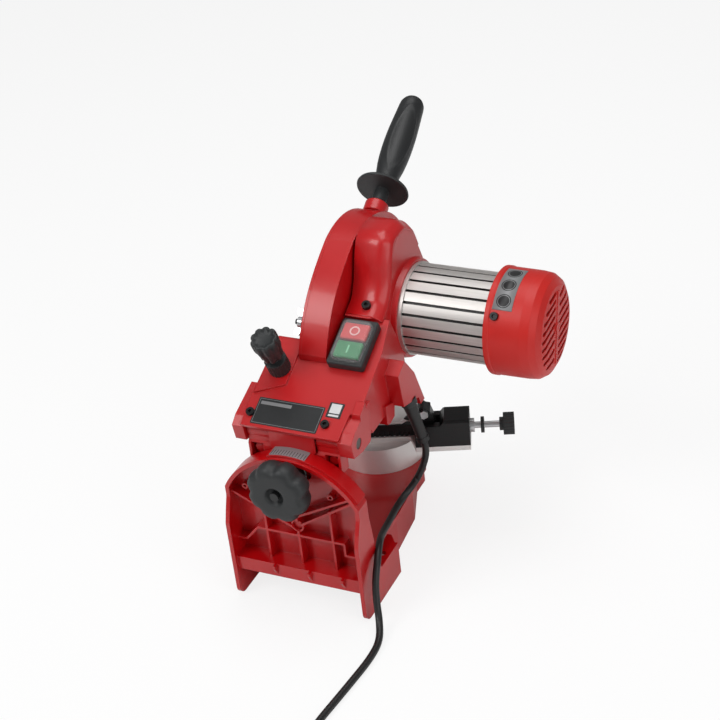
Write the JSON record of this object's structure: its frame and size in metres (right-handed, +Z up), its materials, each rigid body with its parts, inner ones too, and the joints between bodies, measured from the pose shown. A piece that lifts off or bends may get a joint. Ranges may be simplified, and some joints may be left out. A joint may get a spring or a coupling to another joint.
{
  "type": "chainsaw sharpener",
  "caption": "Electric bench sharpener for saw chains: ribbed base, tilting arm, swing-down grinding head with finned motor, and a turning chain vice with a link stop.",
  "frame": {"origin": "on the table, under the middle of the front wall of the base, below the turning vice", "axes": "+Z up, +X to the right along the motor shaft away from the wheel, +Y from the star knob towards the vice"},
  "size_m": [0.2474, 0.6511, 0.3407],
  "materials": {
    "red_base": "glossy red paint on a cast base",
    "red_casting": "glossy red paint on an aluminium casting",
    "red_plastic": "glossy red moulding",
    "black_plastic": "black moulded plastic, fine grain",
    "soft_black": "dark rubber, satin",
    "cord_rubber": "smooth black cord sheath",
    "black_metal": "black painted steel",
    "silver_cast": "bead blasted aluminium",
    "silver_fins": "bright drawn aluminium",
    "steel": "bright turned steel",
    "zinc": "zinc plated fasteners",
    "spring_steel": "dark spring steel",
    "stone": "vitrified abrasive",
    "lamination": "stacked steel sheet",
    "copper": "varnished copper wire",
    "clear_pane": "clear polycarbonate",
    "button_red": "red button",
    "button_green": "green button",
    "scale": "printed scale strip"
  },
  "bodies": {
    "base": {"base_frame": "red_base", "tilt_scale": "scale", "power_cord": "cord_rubber", "cord_coil": "cord_rubber", "mains_plug": "black_plastic"},
    "arm": {"tilt_arm": "red_casting", "tilt_pivot_bolt": "zinc", "clamp_bolt": "steel", "clamp_washer": "zinc", "hinge_pin": "steel", "head_spring": "spring_steel"},
    "tilt_clamp_knob": {"star_knob": "black_plastic"},
    "head": {"head_housing": "red_casting", "head_screws": "black_metal", "wheel_guard": "red_casting", "guard_cover": "red_casting", "shield_screw": "zinc", "bearings": "steel", "stator_core": "lamination", "stator_windings": "copper", "motor_housing": "silver_fins", "motor_flange": "silver_fins", "rear_bearing_plate": "silver_cast", "end_cap": "red_plastic", "cap_screws": "black_metal", "handle_stud": "steel", "hand_guard": "black_plastic", "handle_grip": "soft_black", "switch_frame": "black_plastic", "button_springs": "spring_steel", "cord_gland": "black_plastic", "strain_relief": "soft_black"},
    "spindle": {"motor_shaft": "steel", "grinding_wheel": "stone", "wheel_flanges": "steel", "spindle_nut": "zinc", "rotor_core": "lamination", "cooling_fan": "black_plastic"},
    "shield": {"guard_shield": "clear_pane"},
    "shield_nut": {"wing_nut": "zinc"},
    "depth_stop": {"depth_screw": "steel"},
    "depth_stop_knob": {"depth_knob": "black_plastic"},
    "depth_stop_lock": {"depth_lock_sleeve": "black_plastic"},
    "stop_key": {"stop_button": "button_red"},
    "start_key": {"start_button": "button_green"},
    "turntable": {"turntable_ring": "silver_cast", "turntable_bolt": "steel", "vice_plate": "silver_cast", "vice_body": "black_metal", "vice_near_jaw": "black_metal", "chain_rails": "zinc"},
    "swivel_clamp": {"swivel_lock_knob": "black_plastic"},
    "moving_jaw": {"vice_far_jaw": "black_metal"},
    "link_stop_slide": {"adjust_screw": "steel", "adjust_lock_nut": "zinc", "adjust_disc": "black_metal", "stop_carrier": "black_metal", "chain_stop_bolt": "zinc"},
    "adjuster": {"adjust_knob": "black_plastic"},
    "link_stop": {"chain_stop": "zinc"}
  },
  "joints": [
    {"name": "arm_tilt", "type": "hinge", "parent": "base", "child": "arm", "pos_m": [0, -0.1822, 0.082], "axis": [0, -1, 0], "range_deg": [-10, 10], "deforming": ["power_cord"]},
    {"name": "tilt_knob_turn", "type": "hinge", "parent": "arm", "child": "tilt_clamp_knob", "pos_m": [0, -0.2122, 0.134], "axis": [0, -1, 0], "range_deg": [0, 180]},
    {"name": "head_swing", "type": "hinge", "parent": "arm", "child": "head", "pos_m": [0, -0.1762, 0.165], "axis": [-1, 0, 0], "range_deg": [0, 12], "stiffness_Nm_per_rad": 4, "springref_deg": -65.89, "deforming": ["power_cord"]},
    {"name": "wheel_spin", "type": "hinge", "parent": "head", "child": "spindle", "pos_m": [0, -0.0242, 0.209], "axis": [1, 0, 0], "continuous": true},
    {"name": "shield_swing", "type": "hinge", "parent": "head", "child": "shield", "pos_m": [-0.018, -0.1022, 0.228], "axis": [1, 0, 0], "range_deg": [0, 40]},
    {"name": "wing_nut_turn", "type": "hinge", "parent": "head", "child": "shield_nut", "pos_m": [-0.022, -0.1022, 0.228], "axis": [-1, 0, 0], "range_deg": [0, 170]},
    {"name": "depth_stop_travel", "type": "slide", "parent": "head", "child": "depth_stop", "axis": [0, -0.4305, 0.9026], "range_m": [0, 0.01]},
    {"name": "depth_knob_turn", "type": "hinge", "parent": "depth_stop", "child": "depth_stop_knob", "pos_m": [-0.03, -0.15086, 0.22748], "axis": [0, -0.4305, 0.9026], "range_deg": [0, 2890]},
    {"name": "depth_lock_turn", "type": "hinge", "parent": "head", "child": "depth_stop_lock", "pos_m": [-0.03, -0.14139, 0.20762], "axis": [0, -0.4305, 0.9026], "range_deg": [0, 180]},
    {"name": "stop_press", "type": "slide", "parent": "head", "child": "stop_key", "axis": [0, 0.4305, -0.9026], "range_m": [0, 0.0025], "stiffness_N_per_m": 600, "springref_m": -0.001, "deforming": ["button_springs"]},
    {"name": "start_press", "type": "slide", "parent": "head", "child": "start_key", "axis": [0, 0.4305, -0.9026], "range_m": [0, 0.0025], "stiffness_N_per_m": 600, "springref_m": -0.001, "deforming": ["button_springs"]},
    {"name": "vice_swivel", "type": "hinge", "parent": "base", "child": "turntable", "pos_m": [0, -0.0252, 0.06], "axis": [0, 0, 1], "range_deg": [-56, 14]},
    {"name": "swivel_knob_turn", "type": "hinge", "parent": "base", "child": "swivel_clamp", "pos_m": [0, -0.0252, 0.02], "axis": [0, 0, 1], "range_deg": [0, 180]},
    {"name": "far_jaw_travel", "type": "slide", "parent": "turntable", "child": "moving_jaw", "axis": [0.3584, -0.9336, 0], "range_m": [0, 0.0014]},
    {"name": "link_stop_travel", "type": "slide", "parent": "turntable", "child": "link_stop_slide", "axis": [0.9336, 0.3584, 0], "range_m": [0, 0.004]},
    {"name": "adjust_knob_turn", "type": "hinge", "parent": "link_stop_slide", "child": "adjuster", "pos_m": [0.12386, -0.013, 0.091], "axis": [0.9336, 0.3584, 0], "range_deg": [0, 1445]},
    {"name": "link_stop_lift", "type": "hinge", "parent": "link_stop_slide", "child": "link_stop", "pos_m": [0.05226, -0.03299, 0.11], "axis": [-0.3584, 0.9336, 0], "range_deg": [0, 60]}
  ],
  "couplings": [
    {"joint": "depth_knob_turn", "follows": "depth_stop_travel", "rad_per_m": 5026.5},
    {"joint": "adjust_knob_turn", "follows": "link_stop_travel", "rad_per_m": 6283.2}
  ]
}
